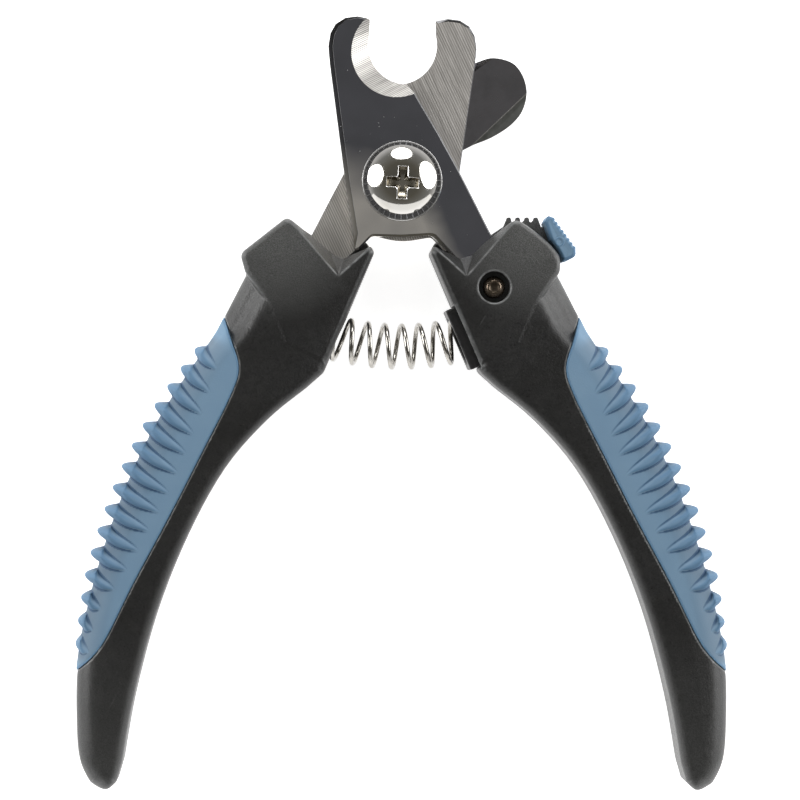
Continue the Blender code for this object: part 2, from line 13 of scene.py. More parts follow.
import bmesh
import bpy
import numpy as np
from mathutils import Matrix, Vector


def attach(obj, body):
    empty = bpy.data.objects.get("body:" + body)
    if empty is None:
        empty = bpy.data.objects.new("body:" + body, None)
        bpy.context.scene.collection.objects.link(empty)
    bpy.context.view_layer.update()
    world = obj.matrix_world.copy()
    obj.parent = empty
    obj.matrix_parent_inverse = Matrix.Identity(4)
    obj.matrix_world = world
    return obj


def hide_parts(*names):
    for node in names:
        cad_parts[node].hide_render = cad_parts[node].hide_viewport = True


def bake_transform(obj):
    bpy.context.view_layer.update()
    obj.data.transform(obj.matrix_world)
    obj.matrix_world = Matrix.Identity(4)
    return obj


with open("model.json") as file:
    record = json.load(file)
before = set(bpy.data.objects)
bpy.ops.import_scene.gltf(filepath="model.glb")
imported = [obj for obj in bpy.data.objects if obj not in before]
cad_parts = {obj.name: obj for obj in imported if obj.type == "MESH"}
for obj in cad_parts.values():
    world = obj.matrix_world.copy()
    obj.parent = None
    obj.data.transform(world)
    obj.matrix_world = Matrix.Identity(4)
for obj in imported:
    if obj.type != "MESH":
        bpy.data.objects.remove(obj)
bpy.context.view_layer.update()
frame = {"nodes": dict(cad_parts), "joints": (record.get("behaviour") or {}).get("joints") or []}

MM = 0.001
JOINTS = {joint["name"]: joint for joint in frame["joints"]}
PIVOT = Vector(JOINTS["handle_pivot"]["pos_m"])
AXIS_FOOT = np.array([PIVOT.x, PIVOT.y, 0.0])
LOCK_AXIS = tuple((Vector(JOINTS["lock_pivot"]["pos_m"]) - PIVOT)[:2] / np.float64(MM))

DEPTH = 15.0                    # a handle's thickness
MID_Z = DEPTH / 2
BLADE_BACK = 7.65               # contact side of the front blade
BLADE_FRONT = 10.4
BORE_RADIUS = 3.25
NOTCH_FLOOR = 10.5
HANDLE_RIMS = (2.2, 1.1)        # how far the arm's and the head's rims are rounded
LOCK_POCKET = (3.0, 12.0)       # radius and floor of the lock screw's counterbore
SEAT_POCKET = (6.35, 6.2, 6.0)  # half width, half height and depth
LEFT_POCKET = 5.2               # radius of the blind hole for the spring's left end
GUARD_HEIGHTS = (3.1, 4.3)
# width of the strip of bright chrome painted along the guard's crease as a highlight
CREASE_WIDTH = 0.17
PAD_HEIGHTS = (2.2, 12.8)
SPRING_RADIUS = 4.1
SPRING_BOW = 51.0               # radius of the arc that its centre line follows
SPRING_LOW = -32.3              # where that arc is lowest
SPRING_PITCH = 3.58
SPRING_ENDS = (-15.6, 14.2)     # along the arc
WIRE_RADIUS = 0.42
RECESS_SHIFT = -0.7             # the cross recess sits off the screw's centre
WASHER_SHIFT = -0.2             # the toothed washer has slipped this far in its clearance

# The right handle's outlines and the blade's, as in the CAD; a third number is a corner's radius.
HEAD = [(5.45, -14.2, 0.8), (6.6, -12.1, 0.6), (9.5, -9.9, 1.0), (13.0, -8.9, 1.0), (17.0, -10.8, 0.6),
        (22.2, -7.2, 1.6), (31.4, -14.4, 1.6), (30.4, -18.0, 1.6)]
OUTER_EDGE = [(36.1, -29.4), (40.3, -35.8), (47.2, -46.6), (53.0, -58.4), (57.5, -70.6), (61.0, -83.1),
              (63.0, -94.0), (63.25, -104.0), (62.7, -112.0), (60.6, -116.8), (57.6, -118.2), (55.3, -116.6)]
INNER_EDGE = [(54.2, -112.8), (51.9, -100.0), (47.6, -84.0), (41.6, -69.0), (34.4, -56.0), (26.2, -46.6),
              (18.6, -40.4)]
FACE_FOOT = (15.2, -37.4, 1.5)
GRIP_SEAM = [(34.5, -26.4), (33.2, -30.8), (31.6, -36.4), (33.2, -41.9), (38.7, -52.8), (45.1, -65.3),
             (51.8, -77.8), (58.2, -90.3), (63.6, -95.6)]
GRIP_OUTSIDE = [(72.0, -98.0), (72.0, -70.0), (56.0, -30.0), (38.0, -22.0)]
SHOULDER = [(26.3, -24.0), (23.0, -32.0), (15.0, -36.0)]     # from the head's outer corner back to the face
BEYOND = [(40.0, -130.0), (-20.0, -130.0), (-20.0, -6.0), (24.2, -6.8)]

BLADE = [(-6.2, 31.3, 0.3), (-8.6, 31.8), (-11.0, 31.5), (-12.9, 30.3), (-13.9, 28.5), (-14.3, 26.0),
         (-14.0, 22.5), (-11.1, 0.4), (-9.4, -10.5),
         (-9.2, -13.8, 0.7), (-8.3, -13.4, 0.5), (-5.9, -10.9, 1.2), (0.0, -11.5, 30.0), (5.6, -10.7, 1.6),
         (10.3, -15.1), (19.2, -27.5, 2.0), (21.0, -31.0, 1.5), (25.8, -31.0, 2.0), (26.3, -28.7, 2.0),
         (14.3, -4.6), (10.7, 2.4), (6.8, 9.5), (2.5, 16.8), (0.8, 19.1), (-4.4, 24.0), (-6.3, 29.0)]
WAIST_SHIFT = {1: 0.45, -1: -0.5}       # how far a blade's waist is ground away from its outline
EDGE_CIRCLE = (1.15, 26.5, 7.7)
BEVEL_CIRCLE = (-1.03, 24.9, 8.8)
GUARD = [(-6.2, 0.0, 3.0), (-4.6, -5.6, 4.0), (4.6, -5.6, 4.0), (9.6, 1.0, 4.0), (11.6, 6.0, 1.5),
         (14.4, 7.4), (17.4, 8.6), (20.3, 10.3), (22.35, 12.0), (23.8, 13.95), (24.55, 16.4), (24.55, 18.55),
         (23.85, 20.85), (22.4, 22.9), (20.35, 23.95), (17.5, 24.3), (14.9, 23.5), (9.0, 20.7, 6.0)]
RIGHT_LEAN = radians(0.15)         # the right handle sits this much further in than the left one
REAR_LEAN = radians(0.8)           # the rear blade stands this much further out than the front one

RIB_COUNT = 15
RIB_PITCH = 4.4
RIB_FIRST = 5.15
RIB_LENGTH = 3.0                # of its foot, along the edge
RIB_CREST = 1.85                # from its foot's upper end to its tip
RIB_RISE = 0.6                  # how far a rib may stand above the handle's face


# ---------------- outlines

def polar(centre, radius, degrees):
    angle = radians(degrees)
    return (centre[0] + radius * cos(angle), centre[1] + radius * sin(angle))


def arc(centre, radius, first, last, count):
    return [polar(centre, radius, first + (last - first) * i / count) for i in range(count + 1)]


def ring(centre, radius, count):
    return arc(centre, radius, 0, 360 - 360 / count, count - 1)


def smooth(points, per_span):
    """Points on the Catmull-Rom curve through the given ones."""
    ends = [points[0], *points, points[-1]]
    found = []
    for i in range(1, len(ends) - 2):
        a, b, c, d = (Vector(ends[i + k][:2]) for k in (-1, 0, 1, 2))
        for step in range(per_span):
            t = step / per_span
            found.append(tuple(0.5 * (2 * b + (c - a) * t + (2 * a - 5 * b + 4 * c - d) * t * t
                                      + (3 * b - a - 3 * c + d) * t ** 3)))
    return [*found, tuple(points[-1][:2])]


def rounded(points, steps=8):
    """The outline with an arc at every corner that has a radius."""
    found = []
    for i, point in enumerate(points):
        if len(point) == 2:
            found.append(point)
            continue
        here = Vector(point[:2])
        back = Vector(points[i - 1][:2]) - here
        ahead = Vector(points[(i + 1) % len(points)][:2]) - here
        half = back.angle(ahead) / 2
        reach = min(point[2] / tan(half), 0.49 * back.length, 0.49 * ahead.length)
        radius = reach * tan(half)
        centre = here + (back.normalized() + ahead.normalized()).normalized() * (radius / sin(half))
        first = here + back.normalized() * reach - centre
        last = here + ahead.normalized() * reach - centre
        sweep = first.angle_signed(last)
        for step in range(steps + 1):
            angle = -sweep * step / steps
            found.append((centre.x + first.x * cos(angle) - first.y * sin(angle),
                          centre.y + first.x * sin(angle) + first.y * cos(angle)))
    return found


def outward(points):
    """The outward direction at each point of a closed outline."""
    here = np.array([p[:2] for p in points])
    ahead = np.roll(here, -1, 0) - here
    ahead /= np.linalg.norm(ahead, axis=1)[:, None]
    along = ahead + np.roll(ahead, 1, 0)
    along /= np.linalg.norm(along, axis=1)[:, None]
    turn = np.sum(here[:, 0] * np.roll(here[:, 1], -1) - np.roll(here[:, 0], -1) * here[:, 1])
    return np.stack([along[:, 1], -along[:, 0]], 1) * np.sign(turn)


# ---------------- distance fields

def outline_field(points, x, y):
    """Signed distance to a closed outline."""
    nearest, inside = np.inf, False
    for (ax, ay), (bx, by) in zip(points, [*points[1:], points[0]]):
        across, up = bx - ax, by - ay
        share = np.clip(((x - ax) * across + (y - ay) * up) / (across ** 2 + up ** 2), 0, 1)
        nearest = np.minimum(nearest, (x - ax - across * share) ** 2 + (y - ay - up * share) ** 2)
        level = (ay > y) != (by > y)
        inside = inside ^ (level & (x < ax + (y - ay) * across / (up or 1e-9)))
    return np.where(inside, -1, 1) * np.sqrt(nearest)


def either(a, b, soft):
    """The union of two fields, with a fillet."""
    near = np.maximum(soft - np.abs(a - b), 0) / soft
    return np.minimum(a, b) - near * near * soft / 4


def both(a, b, soft):
    """Where two fields overlap, with a rounded edge."""
    return -either(-a, -b, soft)


def block(flat, z, low, high, rim):
    """An outline's block between two heights, with both rims rounded."""
    side = flat + rim
    face = np.abs(z - (low + high) / 2) - (high - low) / 2 + rim
    return np.minimum(np.maximum(side, face), 0) + np.hypot(np.maximum(side, 0), np.maximum(face, 0)) - rim


def wall(a, b, x, y):
    """A vertical plane through two points, positive on its left."""
    normal = Vector((a[1] - b[1], b[0] - a[0])).normalized()
    return (x - a[0]) * normal.x + (y - a[1]) * normal.y


def slope(a, b, crest, x, y, z):
    """A plane through two points on the notch's floor and one on the handle's face, positive on the left."""
    low, side, top = (Vector(p) for p in ((*a, NOTCH_FLOOR), (*b, NOTCH_FLOOR), (*crest, DEPTH)))
    normal = (side - low).cross(top - low).normalized()
    if normal.x * (a[1] - b[1]) + normal.y * (b[0] - a[0]) < 0:
        normal.negate()
    return (x - low.x) * normal.x + (y - low.y) * normal.y + (z - low.z) * normal.z


def ease(low, high, value):
    share = np.clip((value - low) / (high - low), 0, 1)
    return share * share * (3 - 2 * share)


def wedge(first, last, x, y):
    """The sector between two directions from the lock's axis, under a half turn."""
    dx, dy = x - LOCK_AXIS[0], y - LOCK_AXIS[1]
    a, b = radians(first), radians(last)
    return np.maximum(dx * sin(a) - dy * cos(a), dy * cos(b) - dx * sin(b))


WHOLE = rounded([*HEAD, *smooth(OUTER_EDGE, 5), *smooth(INNER_EDGE, 5), FACE_FOOT])
OUTSIDE = [*smooth(OUTER_EDGE[:10], 5), *BEYOND]
HEAD_BLOCK = rounded([*HEAD, *SHOULDER])
SEAM = [*smooth(GRIP_SEAM, 6), *GRIP_OUTSIDE]
FACE_LEAN = radians(23.0)
FACE_OUT = Vector((-cos(FACE_LEAN), -sin(FACE_LEAN)))
SEAT_MIDDLE = Vector((10.75, -31.2))
EAR_RADIUS = 13.95
LEVER_SLOT = (4.0, 7.35)


def notch_field(x, y, z, floor):
    """The V notch in a handle's head: four upright walls below, and sloping facets above the blade."""
    corners = [(24.0, -5.9), (12.7, -14.8), (11.3, -15.2), (6.9, -13.4), (4.2, -11.9)]
    inner = ((11.3, -15.2), (5.7, -10.4), (12.2, -18.6))
    facets = [((17.1, -10.8), (13.2, -15.2), (12.5, -18.6)), (*corners[1:3], (12.4, -18.7)), inner, inner]
    notch = floor - z
    for a, b, facet in zip(corners, corners[1:], facets):
        notch = both(notch, np.minimum(wall(a, b, x, y), slope(*facet, x, y, z)), 0.15)
    return notch


def spring_frame(along):
    """The spring's centre line, and its direction, at a distance from its lowest point."""
    angle = along / SPRING_BOW
    return (Vector((SPRING_BOW * sin(angle), SPRING_LOW + SPRING_BOW * (1 - cos(angle)))),
            Vector((cos(angle), sin(angle))))


def tunnel(centre, direction, radius, x, y, z):
    """A round hole at mid depth that starts at a point and runs along a direction."""
    along = (x - centre.x) * direction.x + (y - centre.y) * direction.y
    across = (y - centre.y) * direction.x - (x - centre.x) * direction.y
    return np.maximum(np.hypot(across, z - MID_Z) - radius, -along)


def handle_field(x, y, z, right):
    """A whole handle before its grip is split from it; its mirror image is the left one."""
    u, v = leaned(x, y, right)
    outline = outline_field(WHOLE, u, v)
    crowned = crown(outline, z)
    arm_rim, head_rim = HANDLE_RIMS
    arm = both(block(outline, crowned, 0, DEPTH, arm_rim), side_field(u, v, crowned), 0.5)
    head = block(outline_field(HEAD_BLOCK, u, v), crowned, 0, DEPTH, head_rim)
    body = either(arm, head, 0.25)
    body = both(body, -notch_field(u, v, z, LEVER_SLOT[0]), 0.3)
    if not right:
        centre, heading = spring_frame(SPRING_ENDS[0] - 1.5)
        mouth = Vector((-centre.x, centre.y))
        return both(body, -tunnel(mouth, Vector((-heading.x, heading.y)), LEFT_POCKET, x, y, z), 0.5)
    radius = np.hypot(x - LOCK_AXIS[0], y - LOCK_AXIS[1])
    trim = np.maximum(EAR_RADIUS - radius, wedge(12, 112, x, y))
    low, high = LEVER_SLOT
    slot = np.maximum(np.maximum(np.abs(z - (low + high) / 2) - (high - low) / 2, 4.2 - radius),
                      wedge(6, 128, x, y))
    body = both(both(body, -trim, 1.4), -slot, 0.2)
    body = both(body, -np.maximum(radius - LOCK_POCKET[0], LOCK_POCKET[1] - z), 0.4)
    dx, dy = x - SEAT_MIDDLE.x, y - SEAT_MIDDLE.y
    inwards = -dx * FACE_OUT.x - dy * FACE_OUT.y
    across = np.abs(dx * FACE_OUT.y - dy * FACE_OUT.x)
    wide, tall, deep = SEAT_POCKET
    pocket = np.maximum(np.maximum(across - wide, np.abs(z - MID_Z) - tall), inwards - deep)
    return both(body, -pocket, 0.15)


def leaned(x, y, right):
    return (x - y * RIGHT_LEAN, y + x * RIGHT_LEAN) if right else (x, y)


def crown(outline, z):
    """Heights stretched away from mid depth, so that a flat face falls off slightly towards its outline."""
    near = np.maximum(1 + outline / 8.0, 0)
    return MID_Z + (z - MID_Z) * (1 + 0.085 * near * near)


def side_field(x, y, z, depth=1.0):
    """The outer side: a rounded shoulder, and along the neck a lower flank beyond a valley."""
    outer = outline_field(OUTSIDE, x, y)
    neck = depth * ease(-38.0, -28.0, y)
    face = block(outer + 3.3 * neck, z, 0, DEPTH, 4.2 - 0.4 * neck)
    sloped = MID_Z + np.abs(z - MID_Z) + 0.42 * np.maximum(outer + 3.6, 0)
    flank = block(outer, sloped, 2.0, DEPTH - 2.0, 2.2)
    return either(face, flank, 0.9)


def ribs_field(x, y):
    """(rise, dust and sheen): how far the ribs stand off the grip, and how much dust and painted sheen lie
    between them.
    """
    edge = [Vector(p) for p in smooth(OUTER_EDGE[:7], 8)]
    lengths = np.cumsum([0.0] + [(b - a).length for a, b in zip(edge, edge[1:])])
    rise, cover, near = 0.0, 0.0, 0.0
    for number in range(RIB_COUNT):
        reach = RIB_FIRST + number * RIB_PITCH
        k = int(np.searchsorted(lengths, reach)) - 1
        foot = edge[k].lerp(edge[k + 1], (reach - lengths[k]) / (lengths[k + 1] - lengths[k]))
        down = (edge[k + 1] - edge[k]).normalized()
        proud = min(2.4 - 0.016 * (number - 7) ** 2, 0.4 + 0.43 * (RIB_COUNT - number))
        long = max(8.5 - 0.135 * (number - 5.5) ** 2, 2.0)
        along = (x - foot.x) * down.x + (y - foot.y) * down.y + RIB_CREST
        out = (y - foot.y) * down.x - (x - foot.x) * down.y
        share = np.clip(-out / long, 0, 1)
        lower = RIB_LENGTH + 2.6 * share * (1 - share) ** 1.6
        upper = 2.2 * share ** 0.72 + 0.7 * share ** 9
        across = np.clip((along - upper) / (lower - upper), 0, 1)
        shape = np.maximum(np.sin(pi * across ** (1.3 + 0.5 * share)), 0) ** 0.75
        rise = np.maximum(rise, proud * (1 - share) ** 1.5 * shape)
        cover = np.maximum(cover, shape * (share < 1))
        near = np.maximum(near, np.clip(1 + out / 5, 0, 1) * ease(4.8, 2.4, np.abs(along - 1.5)))
    return rise, near * (1 - cover)


def seam_field(x, y, right):
    return outline_field(SEAM, *leaned(x, y, right))


def core_field(x, y, z, right):
    return both(handle_field(x, y, z, right), 0.05 - seam_field(x, y, right), 0.15)


def grip_field(x, y, z, right):
    u, v = leaned(x, y, right)
    body = side_field(u, v, crown(outline_field(WHOLE, u, v), z), 0.35) - ribs_field(u, v)[0]
    body = both(body, np.maximum(z - DEPTH - RIB_RISE, 0.05 - z), 0.6)
    return both(body, seam_field(x, y, right), 0.2)


# ---------------- meshes

CORNERS = np.array([(i, j, k) for i in (0, 1) for j in (0, 1) for k in (0, 1)])


def net(field, axes):
    """(points, quads) where a sampled field changes sign, with one point in each cell that it crosses."""
    inside = field < 0
    count = sum(inside[tuple(slice(c, c + n - 1) for c, n in zip(corner, inside.shape))].astype(np.int8)
                for corner in CORNERS)
    mixed = (count > 0) & (count < 8)       # cells that have corners on both sides
    cells = np.argwhere(mixed)
    values = field[tuple((cells[:, None] + CORNERS).transpose(2, 0, 1))]
    total, hits = np.zeros((len(cells), 3)), np.zeros((len(cells), 1))
    for a in range(8):
        for b in range(a + 1, 8):
            step = CORNERS[b] - CORNERS[a]
            if np.abs(step).sum() != 1:
                continue
            crossed = ((values[:, a] < 0) != (values[:, b] < 0))[:, None]
            share = np.divide(values[:, a], values[:, a] - values[:, b], where=crossed[:, 0],
                              out=np.zeros(len(cells)))
            total += crossed * (CORNERS[a] + share[:, None] * step)
            hits += crossed
    local = cells + total / hits
    points = np.stack([np.interp(local[:, d], np.arange(len(axes[d])), axes[d]) for d in range(3)], 1)
    number = np.full(mixed.shape, -1)
    number[mixed] = np.arange(len(cells))
    quads = []
    for d in range(3):
        size = inside.shape[d] - 1
        before, after = inside.take(range(size), d), inside.take(range(1, size + 1), d)
        edges = np.argwhere(before != after)
        entering = ~before[tuple(edges.T)]
        u, v = np.eye(3, dtype=int)[[(d + 1) % 3, (d + 2) % 3]]
        face = np.stack([number[tuple((edges - shift).T)] for shift in (0 * u, u, u + v, v)], 1)
        face[entering] = face[entering][:, ::-1]
        quads.append(face)
    return points, np.concatenate(quads)


def steps(*stops):
    """A sampling axis: stop, spacing, stop, spacing and so on, ending with a stop."""
    runs = [np.arange(stops[i], stops[i + 2], stops[i + 1]) for i in range(0, len(stops) - 2, 2)]
    return np.concatenate([*runs, stops[-1:]])


def place(points):
    """Millimetres from the pivot's axis to metres in the frame."""
    return np.asarray(points, float) * MM + AXIS_FOOT


def local(mesh, mirror):
    """A mesh's points in the coordinates of its field."""
    co = np.zeros(len(mesh.vertices) * 3)
    mesh.vertices.foreach_get("co", co)
    return (co.reshape(-1, 3) - AXIS_FOOT) / MM * (-1 if mirror else 1, 1, 1)


def mesh_object(name, points, faces):
    mesh = bpy.data.meshes.new(name)
    mesh.from_pydata(place(points).tolist(), [], [list(map(int, f)) for f in faces])
    return linked(name, mesh)


def linked(name, data):
    obj = bpy.data.objects.new(name, data)
    bpy.context.scene.collection.objects.link(obj)
    return obj


def coated(obj, *materials):
    for material in materials:
        obj.data.materials.append(material)


def neighbours(function, points, reach):
    """For each axis, a field's values this far ahead of the points and this far behind them."""
    return [(function(*(points + shift).T), function(*(points - shift).T)) for shift in np.eye(3) * reach]


def gradient(function, points):
    """A field's direction of steepest rise at each point."""
    rise = np.stack([ahead - behind for ahead, behind in neighbours(function, points, 0.04)], 1)
    return rise / np.maximum(np.linalg.norm(rise, axis=1)[:, None], 1e-9)


def curvature(function, points, reach=0.4):
    """How sharply a field's surface is rounded at each point, per millimetre; negative in a crease."""
    total = sum(ahead + behind for ahead, behind in neighbours(function, points, reach))
    return (total - 6 * function(*points.T)) / reach ** 2


def moulded(name, function, axes, mirror=False):
    """A piece meshed from its distance field and shaded by that field's slope."""
    x, y, z = axes
    field = function(x[:, None, None], y[None, :, None], z[None, None, :])
    points, quads = net(np.broadcast_to(field, (len(x), len(y), len(z))), axes)
    if mirror:
        points = points * (-1, 1, 1)
        quads = quads[:, ::-1]
    obj = mesh_object(name, points, quads)
    here = local(obj.data, mirror)
    normals = gradient(function, here) * (-1 if mirror else 1, 1, 1)
    obj.data.shade_smooth()
    obj.data.normals_split_custom_set_from_vertices(normals.tolist())
    painted(obj, "ridge", curvature(function, here))
    return obj


def painted(obj, attribute, values):
    obj.data.attributes.new(attribute, "FLOAT", "POINT").data.foreach_set("value", values)


def modified(obj, kind, **settings):
    modifier = obj.modifiers.new(kind, kind)
    for name, value in settings.items():
        setattr(modifier, name, value)


def applied(obj):
    """Turn an object's modifiers into its mesh."""
    graph = bpy.context.evaluated_depsgraph_get()
    old = obj.data
    obj.data = bpy.data.meshes.new_from_object(obj.evaluated_get(graph))
    obj.modifiers.clear()
    obj.data.name = obj.name
    bpy.data.meshes.remove(old)


def loft(name, levels, cap=True):
    """A closed skin through outlines of equal count: levels are lists of 3-D points."""
    count = len(levels[0])
    points = [p for level in levels for p in level]
    faces = []
    for k in range(len(levels) - 1):
        for i in range(count):
            j = (i + 1) % count
            faces.append([k * count + i, k * count + j, (k + 1) * count + j, (k + 1) * count + i])
    if cap:
        faces.append(list(range(count))[::-1])
        faces.append([(len(levels) - 1) * count + i for i in range(count)])
    return repaired(mesh_object(name, points, faces))


def repaired(obj, weld=0.0):
    """The object with its faces turned outwards, and with points this close made one."""
    bm = bmesh.new()
    bm.from_mesh(obj.data)
    if weld:
        bmesh.ops.remove_doubles(bm, verts=bm.verts, dist=weld)
    bmesh.ops.recalc_face_normals(bm, faces=bm.faces)
    bm.to_mesh(obj.data)
    bm.free()
    return obj


def prism(name, outline, low, high):
    return loft(name, [[(*p[:2], low) for p in outline], [(*p[:2], high) for p in outline]])


def lathe(name, profile, centre=(0.0, 0.0), sides=96):
    """A turned piece: (radius, height) points; a profile that starts and ends at radius 0 is solid."""
    solid = profile[0][0] == 0
    inner = profile[1:-1] if solid else profile
    levels = [[(*p, z) for p in ring(centre, r, sides)] for r, z in inner]
    if not solid:
        levels.append(levels[0])
    return repaired(loft(name, levels, cap=solid), 0.000002)


def tube(name, line, radius, sides=12):
    """A wire along a line of 3-D points, with rounded ends."""
    line = np.asarray(line, float)
    heading = np.gradient(line, axis=0)
    heading /= np.linalg.norm(heading, axis=1)[:, None]
    side = np.cross(heading[0], (0.0, 0.0, 1.0))
    levels = []
    for here, along in zip(line, heading):
        side = side - along * side.dot(along)
        side /= np.linalg.norm(side)
        other = np.cross(along, side)
        turn = np.linspace(0, 2 * pi, sides, endpoint=False)[:, None]
        levels.append(here + radius * (np.cos(turn) * side + np.sin(turn) * other))
    caps = ((0.6, 0.55), (0.2, 0.3))
    first = [levels[0] + (line[0] - levels[0]) * s - heading[0] * radius * c for s, c in caps]
    last = [levels[-1] + (line[-1] - levels[-1]) * s + heading[-1] * radius * c for s, c in caps[::-1]]
    return loft(name, [*first, *levels, *last])


def cut(obj, *cutters, operation="DIFFERENCE"):
    """Boolean pieces away from an object; the cut faces take the cutter's material."""
    for cutter in cutters:
        modified(obj, "BOOLEAN", operation=operation, solver="EXACT", material_mode="TRANSFER", object=cutter)
    applied(obj)
    for cutter in cutters:
        bpy.data.objects.remove(cutter)


def softened(obj, width, segments=2, angle=30, rim=-1):
    """Small rounded edges wherever two faces meet at more than an angle, then smooth shading."""
    modified(obj, "BEVEL", width=width * MM, segments=segments, limit_method="ANGLE",
             angle_limit=radians(angle), use_clamp_overlap=True, material=rim)
    applied(obj)
    shaded(obj)


def shaded(obj, angle=32):
    """Smooth shading in which large flat faces stay flat."""
    obj.data.shade_smooth()
    obj.data.set_sharp_from_angle(angle=radians(angle))
    modified(obj, "WEIGHTED_NORMAL", keep_sharp=True, weight=100)
    applied(obj)


def piece(obj, body, replaced, slot, *looks):
    """Finish a piece: its materials, the body that it rides on, and the CAD nodes that it stands for."""
    while len(obj.data.materials) < len(looks):
        obj.data.materials.append(None)
    for index, look in enumerate(looks):
        obj.data.materials[index] = look
    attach(obj, body)
    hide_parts(*replaced)


# ---------------- materials

class Look:
    """A Principled material and a short way to wire nodes into it."""

    def __init__(self, name, **sockets):
        self.material = bpy.data.materials.new(name)
        self.material.use_nodes = True
        self.tree = self.material.node_tree
        self.shader = self.tree.nodes["Principled BSDF"]
        for socket, value in sockets.items():
            self.shader.inputs[socket.replace("_", " ")].default_value = value
        self.place = self.add("TexCoord").outputs["Object"]

    def add(self, kind, inputs=None, **settings):
        node = self.tree.nodes.new("ShaderNode" + kind)
        for name, value in settings.items():
            setattr(node, name, value)
        for socket, value in (inputs or {}).items():
            self.feed(node.inputs[socket], value)
        return node

    def feed(self, socket, value):
        if isinstance(value, bpy.types.NodeSocket):
            self.tree.links.new(value, socket)
        else:
            socket.default_value = value

    def turned(self, angle):
        """Object coordinates, turned about Z."""
        return self.add("VectorRotate", {"Vector": self.place, "Angle": angle},
                        rotation_type="Z_AXIS").outputs[0]

    def stretched(self, scale, angle):
        """Object coordinates, turned about Z and then scaled."""
        return self.vector("MULTIPLY", self.turned(angle), scale)

    def vector(self, operation, a, b, output=0):
        return self.add("VectorMath", {0: a, 1: b}, operation=operation).outputs[output]

    def noise(self, size, detail=3.0, vector=None, rough=0.5):
        """Noise with features of about this many millimetres."""
        return self.add("TexNoise", {"Vector": vector or self.place, "Scale": 1 / (size * MM),
                                     "Detail": detail, "Roughness": rough}).outputs["Fac"]

    def ramp(self, value, low, high, start=0.0, end=1.0):
        """From low to high, as the value goes from start to end."""
        return self.add("MapRange", {"Value": value, "From Min": start, "From Max": end,
                                     "To Min": low, "To Max": high}).outputs["Result"]

    def dots(self, spacing, start, end):
        """Scattered specks: 1 in their middles and 0 between them."""
        node = self.add("TexVoronoi", {"Vector": self.place, "Scale": 1 / (spacing * MM)})
        return self.ramp(node.outputs["Distance"], 1.0, 0.0, start, end)

    def maths(self, operation, a, b=0.0):
        return self.add("Math", {0: a, 1: b}, operation=operation).outputs[0]

    def plus(self, a, b):
        return self.maths("ADD", a, b)

    def times(self, a, b):
        return self.maths("MULTIPLY", a, b)

    def mix(self, share, a, b):
        a, b = ((*value, 1.0) if isinstance(value, tuple) else value for value in (a, b))
        return self.add("Mix", {0: share, 6: a, 7: b}, data_type="RGBA").outputs[2]

    def over(self, colour, value, top, start, end, share=1.0):
        """A second colour laid over the first one, as the value goes from start to end."""
        return self.mix(self.ramp(value, 0.0, share, start, end), colour, top)

    def edges(self, start, end):
        """From 0 on flat ground to 1 on ridges, or in creases where both numbers are negative."""
        return self.ramp(self.attribute("ridge"), 0.0, 1.0, start, end)

    def attribute(self, name):
        return self.add("Attribute", attribute_name=name).outputs["Fac"]

    def finished(self, colour, roughness=None, height=None, depth=0.0):
        """The material, with its bump this many millimetres deep."""
        self.feed(self.shader.inputs["Base Color"], colour)
        if height:
            self.feed(self.shader.inputs["Roughness"], roughness)
            node = self.add("Bump", {"Height": height, "Distance": depth * MM, "Strength": 1.0})
            self.feed(self.shader.inputs["Normal"], node.outputs["Normal"])
        return self.material


def black_plastic(name, tint=(1.0, 1.0, 1.0), lift=1.0):
    """Moulded black nylon: mottled, finely pitted, specked, with a painted highlight along sharp ridges and a
    painted sheen round the ears and towards the ends of the arms.
    """
    def shade(*colour):
        return tuple(lift * c for c in colour)

    look = Look(name, Metallic=0.0, IOR=1.58)
    grain, mottle, cloud = look.noise(0.35, 4, rough=0.7), look.noise(1.6, 3), look.noise(14.0, 2)
    dark, pale = (tuple(level * lift * t for t in tint) for level in (0.007, 0.022))
    colour = look.over(dark, grain, pale, 0.35, 0.7)
    colour = look.over(colour, mottle, shade(0.028, 0.027, 0.0255), 0.45, 0.75, 0.4)
    colour = look.over(colour, cloud, shade(0.006, 0.0057, 0.0053), 0.42, 0.62, 0.5)
    # Painted sheen: paler round each handle's ear and towards the ends of the arms, broken up by a fine
    # grain.
    beside = look.vector("ABSOLUTE", look.vector("SUBTRACT", look.place, (PIVOT.x, PIVOT.y, 0.0)), (0, 0, 0))
    head = look.vector("DISTANCE", beside, (0.0235, 0.0115, MID_Z * MM), "Value")
    up = look.add("SeparateXYZ", {"Vector": look.place}).outputs["Y"]
    tip = look.ramp(up, 0.3, 0.0, PIVOT.y - 0.118, PIVOT.y - 0.085)
    painted_sheen = look.maths("MAXIMUM", look.ramp(head, 1.0, 0.0, 0.002, 0.018), tip)
    painted_sheen = look.times(painted_sheen, look.ramp(look.noise(0.2, 2), 0.35, 1.0, 0.35, 0.65))
    colour = look.mix(painted_sheen, colour, (0.15, 0.152, 0.148))
    # Painted highlight: paler on sharp ridges, broken up by the mottle.
    ridge_highlight = look.times(look.edges(0.7, 2.6), look.ramp(mottle, 0.3, 1.0, 0.3, 0.6))
    colour = look.mix(ridge_highlight, colour, (0.19, 0.195, 0.195))
    specks = look.times(look.dots(0.9, 0.04, 0.09), look.ramp(mottle, 0.0, 0.8, 0.5, 0.6))
    colour = look.mix(specks, colour, (0.09, 0.09, 0.085))
    streaks = look.noise(0.7, 2, look.stretched((1.0, 0.06, 1.0), 0.5))
    scratch = look.times(look.ramp(streaks, 0.0, 1.0, 0.70, 0.76), look.ramp(cloud, 0.0, 0.5, 0.48, 0.62))
    colour = look.mix(scratch, colour, (0.10, 0.10, 0.10))
    return look.finished(colour, look.ramp(grain, 0.27, 0.42, 0.3, 0.7),
                         look.plus(grain, look.times(mottle, 0.8)), 0.08)


